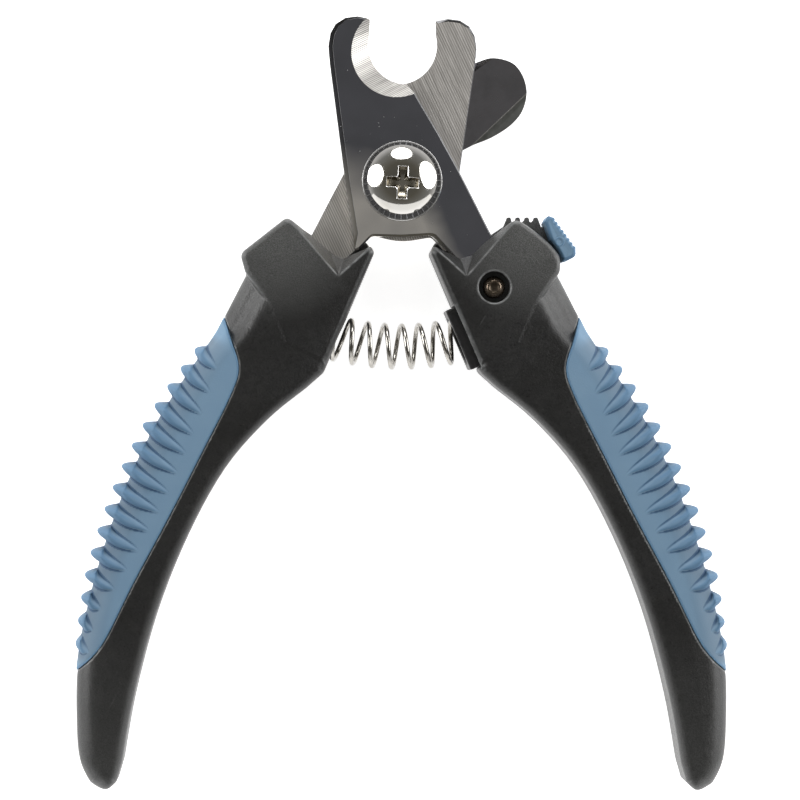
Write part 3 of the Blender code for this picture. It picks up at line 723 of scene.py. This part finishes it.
def grip_rubber(name, creases=(-0.15, -1.3)):
    """Soft blue-grey rubber with a matt skin: greyer between the ribs with dust and a painted sheen, and
    darker in its creases with painted shade.
    """
    look = Look(name, Metallic=0.0, IOR=1.45)
    grain, cloud = look.noise(0.3, 3, rough=0.65), look.noise(7.0, 3)
    colour = look.over((0.152, 0.258, 0.374), cloud, (0.166, 0.274, 0.388), 0.35, 0.65)
    colour = look.over(colour, grain, (0.19, 0.295, 0.40), 0.45, 0.75, 0.35)
    # Dust and painted sheen: greyer between the ribs, near the outer edge.
    colour = look.mix(look.times(look.attribute("dust_and_sheen"), 0.8), colour, (0.115, 0.158, 0.200))
    colour = look.mix(look.edges(0.4, 1.6), colour, (0.105, 0.205, 0.325))
    # Painted shade: a darker blue in creases, where the ridge attribute is negative.
    colour = look.mix(look.edges(*creases), colour, (0.045, 0.10, 0.185))
    return look.finished(colour, look.ramp(grain, 0.55, 0.75, 0.3, 0.7), grain, 0.03)


def polished_steel(name):
    """Buffed blade steel: near-mirror, with a painted reflection that is dark and bluish at the hook and warm
    and pale towards the heel, and with specks.
    """
    look = Look(name, Metallic=1.0)
    split = look.add("SeparateXYZ", {"Vector": look.place}).outputs
    right, up = look.maths("SUBTRACT", split["X"], PIVOT.x), look.maths("SUBTRACT", split["Y"], PIVOT.y)
    cloud = look.noise(9.0, 2)
    # Painted reflection: from dark bluish steel to a warm pale towards the lower left, round the heel.
    warp = look.times(look.maths("SUBTRACT", cloud, 0.5), 6 * MM)
    below = look.ramp(look.plus(look.plus(up, look.times(right, 0.35)), warp), 1.0, 0.0, -7 * MM, 3 * MM)
    left = look.ramp(look.plus(look.plus(right, look.times(up, 0.4)), warp), 1.0, 0.0, 0.5 * MM, 6 * MM)
    colour = look.mix(look.times(below, left), (0.19, 0.191, 0.207), (0.98, 0.93, 0.84))
    colour = look.over(colour, cloud, (0.28, 0.28, 0.31), 0.3, 0.7, 0.3)
    speck = look.times(look.dots(1.3, 0.03, 0.08), look.ramp(look.noise(3.0), 0.0, 1.0, 0.5, 0.6))
    haze = look.ramp(look.noise(2.5, 4), 0.10, 0.17, 0.3, 0.7)
    return look.finished(look.mix(speck, colour, (0.9, 0.9, 0.9)), look.plus(haze, look.times(speck, 0.5)),
                         look.noise(0.25, 2, look.stretched((1.0, 0.08, 1.0), 0.9)), 0.0015)


def ground_steel(name, degrees, pitch, dark, pale, rough):
    """Surface-ground steel: fine straight grinding lines in one direction, a little uneven."""
    look = Look(name, Metallic=1.0)
    turn = radians(degrees)
    across = look.add("SeparateXYZ", {"Vector": look.turned(turn)}).outputs["X"]
    wobble = look.times(look.noise(5.0, 2), 0.25 * pitch * MM)
    phase = look.times(look.plus(across, wobble), 2 * pi / (pitch * MM))
    lines = look.ramp(look.maths("SINE", phase), 0.0, 1.0, -1.0, 1.0)
    along = look.stretched((1.0, 0.03, 0.03), turn)
    streak, broad = look.noise(0.25, 3, along, 0.7), look.noise(1.6, 2, along)
    grade = look.plus(look.times(lines, 0.45), look.times(streak, 0.55))
    colour = look.over(look.over(dark, grade, pale, 0.2, 0.75), broad, dark, 0.35, 0.7, 0.5)
    return look.finished(colour, look.ramp(streak, rough, 0.55, 0.3, 0.7), grade, 0.012)


def bright_metal(name, colour, rough, stain, bump=0.001, size=0.6):
    """Plated or drawn metal: colour drift, hairline marks, a little tarnish in places."""
    look = Look(name, Metallic=1.0)
    cloud, fine = look.noise(4.0, 3), look.noise(size, 4, rough=0.65)
    return look.finished(look.over(colour, cloud, stain, 0.45, 0.75, 0.6),
                         look.ramp(fine, rough, rough + 0.08, 0.35, 0.7), fine, bump)


METALS = {                      # colour, roughness, stain, then the bump's depth and size
    "rim_steel": ((0.125, 0.125, 0.128), 0.28, (0.09, 0.09, 0.093)),
    "bright_chrome": ((0.86, 0.84, 0.80), 0.03, (0.78, 0.74, 0.66)),
    "edge_chrome": ((0.92, 0.91, 0.90), 0.18, (0.75, 0.74, 0.72)),
    "shadowed_chrome": ((0.42, 0.39, 0.33), 0.22, (0.30, 0.27, 0.21)),
    "ring_steel": ((0.26, 0.26, 0.27), 0.35, (0.18, 0.18, 0.18)),
    "guard_steel": ((0.27, 0.26, 0.27), 0.2, (0.21, 0.205, 0.21), 0.0015, 1.2),
    "guard_band_shade_steel": ((0.20, 0.205, 0.195), 0.3, (0.15, 0.15, 0.145), 0.0015, 1.2),
    "socket_shade_steel": ((0.16, 0.13, 0.10), 0.3, (0.08, 0.07, 0.06), 0.004),
    "spring_steel": ((0.52, 0.50, 0.465), 0.15, (0.32, 0.30, 0.27)),
    "dark_steel": ((0.16, 0.16, 0.165), 0.24, (0.12, 0.12, 0.125), 0.003, 1.2),
    "oiled_steel": ((0.34, 0.27, 0.21), 0.22, (0.16, 0.13, 0.11), 0.004),
}


# ---------------- pieces

def make_handles(plastic, rubber):
    fine_z = steps(-0.4, 0.28, 3.4, 0.5, 11.2, 0.28, 15.8)
    core_axes = (steps(4.8, 0.26, 33.0, 0.36, 65.0), steps(-119.0, 0.45, -30.0, 0.26, -6.5), fine_z)
    grip_axes = (steps(31.0, 0.27, 67.0), steps(-97.5, 0.27, -24.0), fine_z)
    for name, right in (("right", True), ("left", False)):
        body = name + "_half"
        core = moulded(name + "_handle_core", partial(core_field, right=right), core_axes, not right)
        piece(core, body, [name + "_handle"], "handle_plastic", plastic)
        grip = moulded(name + "_ribbed_grip", partial(grip_field, right=right), grip_axes, not right)
        x, y, _ = local(grip.data, not right).T
        # How much dust and painted sheen lies between the ribs.
        painted(grip, "dust_and_sheen", ribs_field(*leaned(x, y, right))[1])
        piece(grip, body, [name + "_grip"], "grip_rubber", rubber)


def make_blade(name, side, body, node, polished, ground, bevel, rim):
    """One blade: its outline with chamfered rims, the cutting notch and the pivot's bore.

    Side is 1 for the front blade and -1 for the rear one, which is turned over.
    """
    waist = [(x, y + WAIST_SHIFT[side], *more) if x == 0 else (x, y, *more) for x, y, *more in BLADE]
    outline = rounded(waist, 10)
    normals = outward(outline)
    left = np.clip(-normals[:, 0], 0, 1) ** 1.5
    down = np.clip(-normals[:, 1], 0, 1)
    up = np.clip(normals[:, 1], 0, 1)
    flat = np.array([p[:2] for p in outline])
    front_inset = (0.10 + 0.75 * left * (flat[:, 1] > -13) + 0.35 * down + 0.25 * up)[:, None]
    back_inset = (0.06 + 0.50 * up * (flat[:, 1] > 20) + 0.10 * left)[:, None]

    def placed(points, z):
        if side > 0:
            return [(x, y, z) for x, y in points]
        return [(y * REAR_LEAN - x, y + x * REAR_LEAN, 2 * MID_Z - z) for x, y in points]

    def level(inset, z):
        return placed(flat - normals * inset, z)

    blade = loft(name, [level(back_inset, BLADE_BACK), level(back_inset * 0, BLADE_BACK + 0.28),
                        level(front_inset * 0, BLADE_FRONT - 0.12),
                        level(front_inset - 0.05, BLADE_FRONT - 0.04), level(front_inset, BLADE_FRONT)])
    coated(blade, polished, ground, bevel, rim)
    contact = BLADE_BACK if side > 0 else 2 * MID_Z - BLADE_BACK
    for face in blade.data.polygons:
        if abs(face.normal.z) > 0.99 and abs(face.center.z - contact * MM) < 0.01 * MM:
            face.material_index = 1
        elif 0.1 < abs(face.normal.z) < 0.97:
            face.material_index = 3

    def hole(circle, z):
        return placed(ring(circle[:2], circle[2], 180), z)

    grow = [2 * b - a for a, b in zip(EDGE_CIRCLE, BEVEL_CIRCLE)]
    notch = loft(name + "_notch", [hole(EDGE_CIRCLE, BLADE_BACK - 1), hole(EDGE_CIRCLE, BLADE_BACK + 0.2),
                                   hole(BEVEL_CIRCLE, BLADE_FRONT),
                                   hole(grow, 2 * BLADE_FRONT - BLADE_BACK - 0.2)])
    coated(notch, bevel)
    bore = prism(name + "_bore", ring((0, 0), BORE_RADIUS, 64), 2, 13)
    coated(bore, polished)
    cut(blade, notch, bore)
    softened(blade, 0.05, 1, 35, rim=3)
    shaded(blade, 14)
    piece(blade, body, [node], "ground_blade_steel" if side < 0 else "polished_blade_steel")


def cross_outline(half, arm, fillet, count=5):
    """A cross recess with rounded inner corners."""
    quarter = [(half, -arm), (half, arm), *arc((arm + fillet, arm + fillet), fillet, 270, 180, count)]
    found = []
    for turn in range(4):
        for x, y in quarter:
            for _ in range(turn):
                x, y = -y, x
            found.append((x, y))
    return found


def make_screw(chrome, recess_chrome, edge_chrome):
    """The domed pivot screw, whose cross recess has a thin bright edge."""
    head_radius, rise, foot, top = 6.7, 2.6, 11.75, 14.9
    sphere = (head_radius ** 2 + rise ** 2) / (2 * rise)
    limit = asin(head_radius / sphere)
    profile = [(0.0, top)]
    for step in range(1, 29):
        angle = limit * step / 28
        profile.append((sphere * sin(angle), top - sphere * (1 - cos(angle))))
    profile += [(head_radius, foot + 0.1), (head_radius - 0.1, foot), (2.95, foot), (2.95, 0.62),
                (2.75, 0.42), (0.0, 0.42)]
    screw = lathe("pivot_screw_dome", profile, sides=144)
    coated(screw, chrome)
    outline = np.array(cross_outline(3.05, 0.9, 0.5))
    turn = radians(-3)
    outline = outline @ np.array([[cos(turn), sin(turn)], [-sin(turn), cos(turn)]])
    wide = outline + outward(outline) * 0.16

    def on_dome(points, shift):
        here = points + (0, RECESS_SHIFT)
        heights = top - sphere + np.sqrt(sphere ** 2 - np.sum(here ** 2, 1)) + shift
        return [(x, y, z) for (x, y), z in zip(here, heights)]

    def inside(points, share, z):
        return [(x * share, y * share + RECESS_SHIFT, z) for x, y in points]

    recess = loft("recess", [inside(wide, 1.0, 16.0), on_dome(wide, 0.01), on_dome(outline, -0.14),
                             inside(outline, 0.82, 13.2), inside(outline, 0.4, 12.8)])
    coated(recess, recess_chrome, edge_chrome)
    for face in recess.data.polygons[len(outline):2 * len(outline)]:
        face.material_index = 1
    cut(screw, recess)
    shaded(screw, 38)
    piece(screw, "right_half", ["pivot_screw"], "chrome_plate")


def make_washer(steel, edge_chrome):
    """The toothed washer round the screw's head, and the bright rim of its flat ring. Each tooth's tip takes
    bright chrome as a painted highlight, and the rest of the teeth a darker steel as painted shade.
    """
    teeth, inner, outer, rim, low, high = 39, 6.45, 7.47, 7.75, 11.22, 11.42
    points = []
    for tooth in range(teeth):
        for share, z in ((0.0, high), (0.05, high), (0.16, low), (0.97, low + 0.05)):
            angle = 2 * pi * (tooth + share) / teeth
            for radius in (inner, outer):
                points.append((radius * cos(angle), radius * sin(angle) + WASHER_SHIFT, z))
    count = len(points)
    faces = [(i, i + 1, (i + 3) % count, (i + 2) % count) for i in range(0, count, 2)]
    serrated = mesh_object("serrated_ring", points, faces)
    # Painted highlight on each tooth's tip, and painted shade on the rest of the teeth.
    coated(serrated, steel, edge_chrome)
    for face in serrated.data.polygons:
        face.material_index = int(face.index % 4 == 0)      # each tooth's tip
    profile = [(outer - 0.03, 11.15), (outer, 11.48), (rim - 0.06, 11.5), (rim, 11.44), (rim, 10.72),
               (BORE_RADIUS + 0.3, 10.7), (BORE_RADIUS + 0.3, 11.1)]
    flat = lathe("washer_rim", profile, (0.0, WASHER_SHIFT), 144)
    coated(flat, edge_chrome)
    shaded(flat, 40)
    serrated.parent = flat
    piece(flat, "right_half", ["tooth_washer"], "chrome_plate")


def make_nut(steel):
    nut = prism("pivot_nut_hex", ring((0, 0), 5.75, 6), 0.3, 1.75)
    cone = [(0.0, 2.2), (5.35, 2.2), (5.35, 1.75), (6.1, 1.42), (6.1, 0.63), (5.35, 0.3), (5.35, 0.0),
            (0.0, 0.0)]
    cut(nut, lathe("cone", cone), operation="INTERSECT")
    cut(nut, prism("thread", ring((0, 0), 3.02, 64), -1, 3))
    softened(nut, 0.08, 2, 25)
    piece(nut, "right_half", ["pivot_nut"], "dark_steel", steel)


def make_guard(steel, band_shade, crease):
    """The nail stop: a thin plate, bent back along a crease at its outer edge and a little at its top. A thin
    strip of bright chrome along the crease is a painted highlight, and the bent band beyond it takes a darker
    copy of the steel as painted shade.
    """
    guard = prism("nail_stop", rounded([*GUARD[:5], *smooth(GUARD[5:-1], 4), GUARD[-1]], 12), *GUARD_HEIGHTS)
    bm = bmesh.new()
    bm.from_mesh(guard.data)
    bends = [((15.1, 8.4), (23.7, 16.6), 0.5), ((17.1, 23.6), (14.3, 21.5), 0.4)]
    for a, b, _ in bends:
        along = (Vector(b) - Vector(a)).normalized()
        normal = Vector((along.y, -along.x, 0))
        for shift in (0.0, CREASE_WIDTH, 0.9):
            point = Vector((*a, 0)) + normal * shift
            bmesh.ops.bisect_plane(bm, geom=[*bm.verts, *bm.edges, *bm.faces], dist=1e-7,
                                   plane_co=place([point])[0], plane_no=normal)
    for vertex in bm.verts:
        here = (vertex.co - Vector(AXIS_FOOT)) / MM
        for a, b, steepness in bends:
            beyond = float(-wall(a, b, here.x, here.y))
            if beyond > 0:
                vertex.co.z -= steepness * min(beyond, 0.5 * beyond + 0.2 * beyond ** 2 + 0.1) * MM
    bm.to_mesh(guard.data)
    bm.free()
    cut(guard, prism("bore", ring((0, 0), BORE_RADIUS, 64), 0, 8))
    softened(guard, 0.16, 2, 40)
    piece(guard, "guard", ["nail_guard"], "dark_steel", steel, band_shade, crease)
    # Painted highlight on the thin strip along the crease, and painted shade on the bent band beyond it.
    for face in guard.data.polygons:
        here = (face.center - Vector(AXIS_FOOT)) / MM
        beyond = -wall(*bends[0][:2], here.x, here.y)
        if face.normal.z > 0.5 and beyond > 0:
            face.material_index = 2 if beyond < CREASE_WIDTH else 1


def make_spring(steel):
    turns = (SPRING_ENDS[1] - SPRING_ENDS[0]) / SPRING_PITCH
    line = []
    for along in np.linspace(*SPRING_ENDS, round(turns * 40)):      # 40 points a turn
        where, heading = spring_frame(along)
        angle = 2 * pi * along / SPRING_PITCH
        point = where + Vector((-heading.y, heading.x)) * (SPRING_RADIUS * cos(angle))
        line.append((point.x, point.y, MID_Z + SPRING_RADIUS * sin(angle)))
    spring = tube("coil_spring", line, WIRE_RADIUS + 0.05)
    shaded(spring, 50)
    coated(spring, steel)
    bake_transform(spring)
    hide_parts("handle_spring")


def make_seat(plastic):
    """The block in the right handle that holds the end of the spring."""
    across = Vector((-FACE_OUT.y, FACE_OUT.x)) * 6.25
    face, back = SEAT_MIDDLE, SEAT_MIDDLE - FACE_OUT * 5.7
    seat = prism("spring_seat_block", [face + across, face - across, back - across, back + across], 1.5, 13.5)
    where, heading = spring_frame(SPRING_ENDS[1] + 1.0)
    side = Vector((-heading.y, heading.x))
    hole = [[(centre.x + side.x * u, centre.y + side.y * u, MID_Z + v) for u, v in ring((0, 0), 4.9, 48)]
            for centre in (where - heading * 14, where)]
    cut(seat, loft("seat_hole", hole))
    softened(seat, 0.35, 3, 40)
    piece(seat, "right_half", ["spring_seat"], "handle_plastic", plastic)


def make_lever(plastic):
    teeth = []
    for number in range(4):
        x, y = 26.2 - number * 1.76, -7.1
        teeth += [(x + 0.5, y - 0.35), (x + 0.28, y + 0.05), (x - 0.35, y), (x - 0.5, y - 0.5),
                  (x - 0.95, y - 0.95), (x - 1.25, y - 0.75)]
    hub, outer = arc(LOCK_AXIS, 3.6, 130, 340, 14), arc(LOCK_AXIS, 15.8, 23, 49, 10)
    outline = [*hub, *outer, polar(LOCK_AXIS, 15.3, 51.5), *teeth[:-2], (20.0, -8.6)]
    lever = prism("toothed_lever", outline, 5.1, 7.05)
    cut(lever, prism("lever_bore", ring(LOCK_AXIS, 1.55, 40), 0, 15))
    softened(lever, 0.12, 2, 25)
    piece(lever, "lock", ["lock_lever"], "handle_plastic", plastic)


def make_pad(rubber):
    """The lever's thumb pad: a ridged outer edge, and a small raised ring on its dished face."""
    count, first, last = 8, Vector((29.0, -7.3)), Vector((33.6, -13.6))
    along = (last - first).normalized()
    out = Vector((-along.y, along.x))
    ridged = []
    for number in range(count):
        start = first.lerp(last, number / count)
        for share, height in ((0.0, 0.0), (0.3, 0.22), (0.6, 0.24), (0.85, 0.02)):
            ridged.append(tuple(start + along * (share * (last - first).length / count) + out * height))
    inner = arc(LOCK_AXIS, EAR_RADIUS + 0.35, 20.5, 40, 8)
    outline = rounded([*inner[::-1], (32.2, -15.6, 0.8), (33.6, -14.9, 1.0), *ridged[::-1],
                       (28.2, -7.0, 0.3), (27.5, -8.2, 0.3)])
    top = PAD_HEIGHTS[1]

    def pad_field(x, y, z):
        flat = outline_field(outline, x, y)
        dish = 0.10 * ease(0.3, 1.5, -flat) * (z > MID_Z)
        body = np.maximum(block(flat, z, *PAD_HEIGHTS, 0.7), z - top + dish)
        mark = np.maximum(np.abs(np.hypot(x - 30.4, y + 12.1) - 0.75) - 0.14, z - top + 0.03)
        return either(body, np.maximum(mark, top - 0.8 - z), 0.16)

    axes = (steps(26.8, 0.13, 35.0), steps(-17.2, 0.13, -6.2), steps(2.0, 0.3, 11.6, 0.11, 13.2))
    piece(moulded("thumb_pad", pad_field, axes), "lock", ["lock_thumb_pad"], "pad_plastic", rubber)


def make_lock_screw(steel, socket_shade_steel):
    """The screw that the lever turns on, with a hexagonal socket in a darker copy of the steel as painted
    shade.
    """
    profile = [(0.0, 13.85), (0.7, 13.8), (1.3, 13.62), (1.8, 13.3), (2.08, 12.9), (2.15, 12.5), (2.1, 12.3),
               (1.25, 12.3), (1.25, 1.4), (0.0, 1.4)]
    screw = lathe("lock_screw_head", profile, LOCK_AXIS, 64)
    coated(screw, steel)
    recess = loft("lock_recess", [[(*polar(LOCK_AXIS, 1.15 * share, 60 * i + 20), z) for i in range(6)]
                                  for share, z in ((1.0, 15.0), (0.9, 12.9), (0.3, 12.75))])
    # Painted shade: the socket takes a darker copy of the screw's steel.
    coated(recess, socket_shade_steel)
    cut(screw, recess)
    softened(screw, 0.07, 2, 38)
    piece(screw, "right_half", ["lock_screw"], "dark_steel")


# ---------------- the studio

LIGHT_DISTANCE = 0.75


def make_floor():
    reach = 900
    corners = [(-reach, -reach, 0), (reach, -reach, 0), (reach, reach, 0), (-reach, reach, 0)]
    floor = mesh_object("floor", corners, [(0, 1, 2, 3)])
    floor.location.z = -0.0002
    look = Look("pale_paper", Roughness=0.9, Specular_IOR_Level=0.1, Emission_Color=(1.0, 1.0, 1.0, 1.0),
                Emission_Strength=0.85)
    colour = look.over((0.88, 0.88, 0.88), look.noise(3.0, 3), (0.90, 0.90, 0.90), 0.3, 0.7)
    coated(floor, look.finished(colour))


def soft_light(name, azimuth, elevation, width, height, power, shape="ELLIPSE"):
    """A softbox aimed at the pivot, with its sizes in metres; azimuth 0 is +X and 90 is +Y."""
    data = bpy.data.lights.new(name, "AREA")
    data.shape, data.size, data.size_y, data.energy = shape, width, height, power
    light = linked(name, data)
    a, e = radians(azimuth), radians(elevation)
    back = Vector((cos(a) * cos(e), sin(a) * cos(e), sin(e)))
    light.location = Vector(AXIS_FOOT) + back * LIGHT_DISTANCE
    light.rotation_mode = "QUATERNION"
    light.rotation_quaternion = back.to_track_quat("Z", "Y")


def make_studio():
    """Four soft lights, and a world that is bright round the horizon and dim overhead."""
    soft_light("left_box", 168, 26, 0.58, 0.56, 3.9)
    soft_light("right_box", 13, 26, 0.74, 0.56, 4.4)
    soft_light("back_box", 90, 26, 0.52, 0.40, 2.6)
    soft_light("front_box", 270, 16, 3.00, 0.50, 3.4, "RECTANGLE")

    world = bpy.data.worlds.new("studio")
    world.use_nodes = True
    tree = world.node_tree
    kinds = ("TexCoord", "SeparateXYZ", "ValToRGB")
    toward, split, ramp = (tree.nodes.new("ShaderNode" + kind) for kind in kinds)
    tree.links.new(toward.outputs["Generated"], split.inputs[0])
    tree.links.new(split.outputs["Z"], ramp.inputs[0])
    stops = [(0.0, (0.60, 0.60, 0.61)), (0.35, (0.17, 0.17, 0.165)), (0.75, (0.085, 0.080, 0.066)),
             (0.96, (0.07, 0.068, 0.06)), (0.99, (0.26, 0.26, 0.26))]
    while len(ramp.color_ramp.elements) < len(stops):
        ramp.color_ramp.elements.new(0.5)
    for element, (position, colour) in zip(ramp.color_ramp.elements, stops):
        element.position = position
        element.color = (*colour, 1.0)
    tree.links.new(ramp.outputs[0], tree.nodes["Background"].inputs[0])
    bpy.context.scene.world = world
    bpy.context.scene.view_settings.view_transform = "Standard"


def make_camera():
    """Above the object and a little to its left, with a long lens, framing 156 mm across."""
    height, across, aside, below = 0.65, 0.156, 0.02, 42.7 * MM
    data = bpy.data.cameras.new("camera")
    data.sensor_width = 36.0
    data.lens = data.sensor_width * (height - MID_Z * MM) / across
    camera = linked("camera", data)
    data.shift_x = aside / across
    camera.location = (PIVOT.x - 0.3 * MM - aside, PIVOT.y - below, height)
    bpy.context.scene.camera = camera


def main():
    plastic = black_plastic("black_moulded_nylon")
    seat_plastic = black_plastic("seat_plastic", (1.0, 0.93, 1.05), 0.6)
    lever_plastic = black_plastic("lever_plastic", (1.15, 1.0, 0.92), 0.9)
    rubber = grip_rubber("blue_grip_rubber")
    pad_rubber = grip_rubber("blue_pad_plastic", (-0.8, -4.0))
    polished = polished_steel("polished_steel")
    ground = ground_steel("ground_steel", -25, 0.45, (0.50, 0.475, 0.445), (0.98, 0.95, 0.915), 0.40)
    bevel = ground_steel("bevel_steel", 61, 0.33, (0.12, 0.115, 0.106), (0.92, 0.90, 0.86), 0.42)
    metals = {name: bright_metal(name, *values) for name, values in METALS.items()}
    blade_looks = (polished, ground, bevel, metals["rim_steel"])

    make_handles(plastic, rubber)
    make_blade("hooked_front_blade", 1, "right_half", "front_blade", *blade_looks)
    make_blade("hooked_rear_blade", -1, "left_half", "rear_blade", *blade_looks)
    make_screw(metals["bright_chrome"], metals["shadowed_chrome"], metals["edge_chrome"])
    make_washer(metals["ring_steel"], metals["edge_chrome"])
    make_nut(metals["dark_steel"])
    make_guard(metals["guard_steel"], metals["guard_band_shade_steel"], metals["edge_chrome"])
    make_spring(metals["spring_steel"])
    make_seat(seat_plastic)
    make_lever(lever_plastic)
    make_pad(pad_rubber)
    make_lock_screw(metals["oiled_steel"], metals["socket_shade_steel"])
    for node in ("wave_washer", "lock_washer"):
        hardware = frame["nodes"][node]
        hardware.data.materials.clear()
        coated(hardware, metals["dark_steel"])
    make_floor()
    make_studio()
    make_camera()


main()
